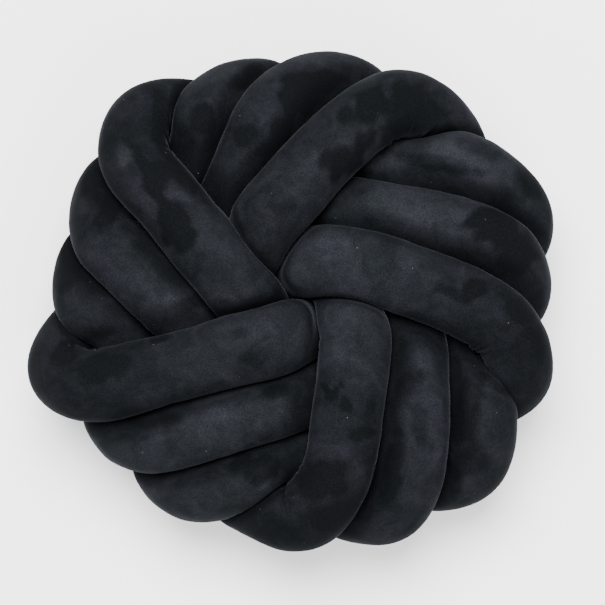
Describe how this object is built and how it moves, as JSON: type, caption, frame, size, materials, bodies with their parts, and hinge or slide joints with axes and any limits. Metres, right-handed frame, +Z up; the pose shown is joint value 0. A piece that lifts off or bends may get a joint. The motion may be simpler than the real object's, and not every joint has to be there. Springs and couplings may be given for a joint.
{
  "type": "knot cushion",
  "caption": "Round decorative cushion: one long stuffed velvet tube plaited into a flat pentagonal knot with looped edges.",
  "frame": {"origin": "middle of the box round the cushion, on the surface it lies on", "axes": "+Z up out of the crown of the knot; +X along the cushion's widest extent; +Y towards the top of the knot as it is usually pictured"},
  "size_m": [0.4, 0.3864, 0.1341],
  "materials": {
    "velvet": "short-pile charcoal velvet with brushed patches in the nap"
  },
  "bodies": {
    "root": {"knotted_tube": "velvet"}
  },
  "joints": []
}
